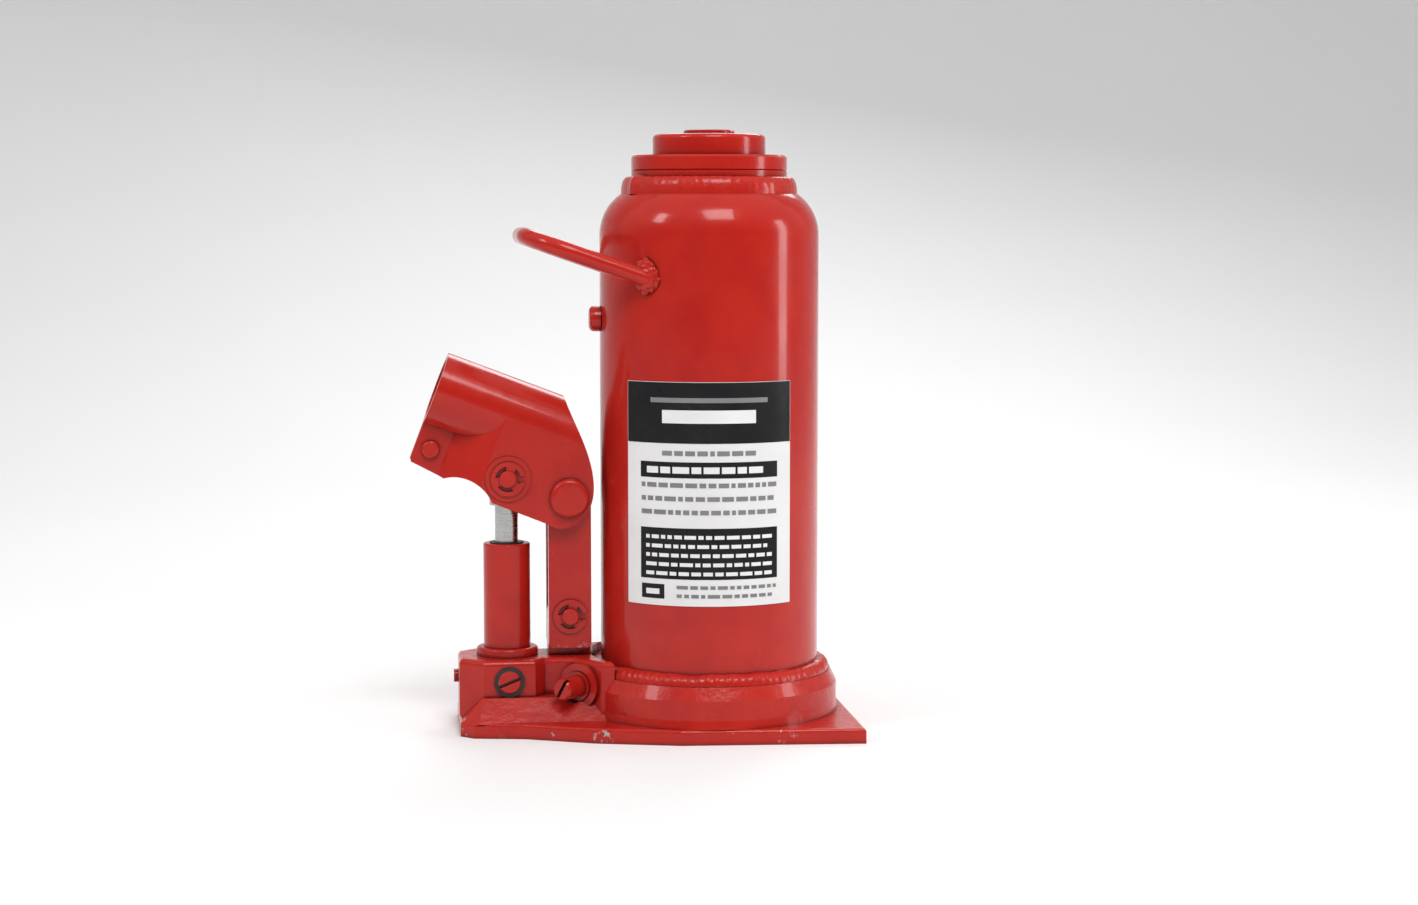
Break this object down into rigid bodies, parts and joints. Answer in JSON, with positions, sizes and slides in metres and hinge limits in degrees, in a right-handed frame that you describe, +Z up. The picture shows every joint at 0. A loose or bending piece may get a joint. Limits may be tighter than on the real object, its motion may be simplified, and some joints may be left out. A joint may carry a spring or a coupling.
{
  "type": "bottle jack",
  "caption": "Hydraulic bottle jack with a side hand pump, folded handle socket, release valve, carry handle and a ram with an extension screw.",
  "frame": {"origin": "on the ram axis, on the underside of the base", "axes": "+Z up along the ram axis, the hand pump stands on the -X side, the label faces -Y"},
  "size_m": [0.2054, 0.13, 0.28],
  "materials": {
    "red_enamel": "gloss enamel over cast and welded steel",
    "bright_steel": "ground and polished",
    "machined_steel": "as machined",
    "black_rubber": "satin moulded",
    "copper": "soft annealed",
    "seal_polymer": "turned",
    "label_print": "printed film"
  },
  "bodies": {
    "root": {"base_casting": "red_enamel", "reservoir_casing": "red_enamel", "base_weld_bead": "red_enamel", "neck_weld_bead": "red_enamel", "cylinder": "red_enamel", "cylinder_gasket": "copper", "top_nut": "red_enamel", "top_nut_seal": "black_rubber", "ram_wiper": "black_rubber", "pump_cylinder": "red_enamel", "pump_gasket": "copper", "pump_seal": "black_rubber", "pump_backup_ring": "seal_polymer", "pump_wiper": "black_rubber", "release_packing": "black_rubber", "discharge_ball": "machined_steel", "discharge_spring": "machined_steel", "valve_plug": "red_enamel", "valve_plug_ring": "black_rubber", "end_plug": "red_enamel", "oil_strainer": "copper", "carry_handle": "red_enamel", "carry_handle_welds": "red_enamel", "filler_plug": "red_enamel", "label": "label_print"},
    "ram": {"ram": "bright_steel", "packing_backup_ring": "seal_polymer", "ram_packing": "black_rubber", "piston_retainer": "machined_steel"},
    "stop_ring": {"screw_stop_ring": "machined_steel"},
    "screw": {"extension_screw": "bright_steel", "saddle": "red_enamel"},
    "plunger": {"pump_plunger": "bright_steel"},
    "socket": {"handle_socket": "red_enamel", "socket_rivet": "red_enamel", "plunger_pin": "red_enamel", "plunger_pin_clips": "red_enamel", "link_top_pin": "red_enamel", "link_top_clip": "red_enamel"},
    "link": {"link_plates": "red_enamel", "link_lower_pin": "red_enamel", "link_lower_pin_clips": "red_enamel"},
    "release_ball": {"release_ball": "machined_steel"},
    "release_spindle": {"release_spindle": "red_enamel"},
    "suction_ball": {"suction_ball": "machined_steel"}
  },
  "joints": [
    {"name": "ram_lift", "type": "slide", "parent": "root", "child": "ram", "axis": [0, 0, 1], "range_m": [0, 0.158]},
    {"name": "screw_rise", "type": "slide", "parent": "ram", "child": "stop_ring", "axis": [0, 0, 1], "range_m": [0, 0.0801]},
    {"name": "screw_turn", "type": "hinge", "parent": "stop_ring", "child": "screw", "pos_m": [0, 0, 0.2], "axis": [0, 0, 1], "range_deg": [0, 4800]},
    {"name": "pump_stroke", "type": "slide", "parent": "root", "child": "plunger", "axis": [0, 0, 1], "range_m": [-0.0137, 0.0122]},
    {"name": "handle_pump", "type": "hinge", "parent": "plunger", "child": "socket", "pos_m": [-0.096, 0, 0.1187], "axis": [0, 1, 0], "range_deg": [-28, 25]},
    {"name": "link_swing", "type": "hinge", "parent": "socket", "child": "link", "pos_m": [-0.06744, 0, 0.10939], "axis": [0, 1, 0], "range_deg": [-28.8, 32.3]},
    {"name": "release_travel", "type": "slide", "parent": "root", "child": "release_ball", "axis": [-0.6428, -0.766, 0], "range_m": [0, 0.0019]},
    {"name": "release_turn", "type": "hinge", "parent": "release_ball", "child": "release_spindle", "pos_m": [-0.0728, -0.0334, 0.022], "axis": [-0.6428, -0.766, 0], "range_deg": [0, 540]},
    {"name": "suction_ball_lift", "type": "slide", "parent": "root", "child": "suction_ball", "axis": [0, 0, 1], "range_m": [0, 0.001]}
  ],
  "couplings": [
    {"joint": "screw_rise", "follows": "screw_turn", "m_per_rad": 0.00095493},
    {"joint": "pump_stroke", "follows": "handle_pump", "m_per_rad": 0.0278},
    {"joint": "link_swing", "follows": "handle_pump", "ratio": -1.15},
    {"joint": "release_travel", "follows": "release_turn", "m_per_rad": 0.00019894}
  ]
}
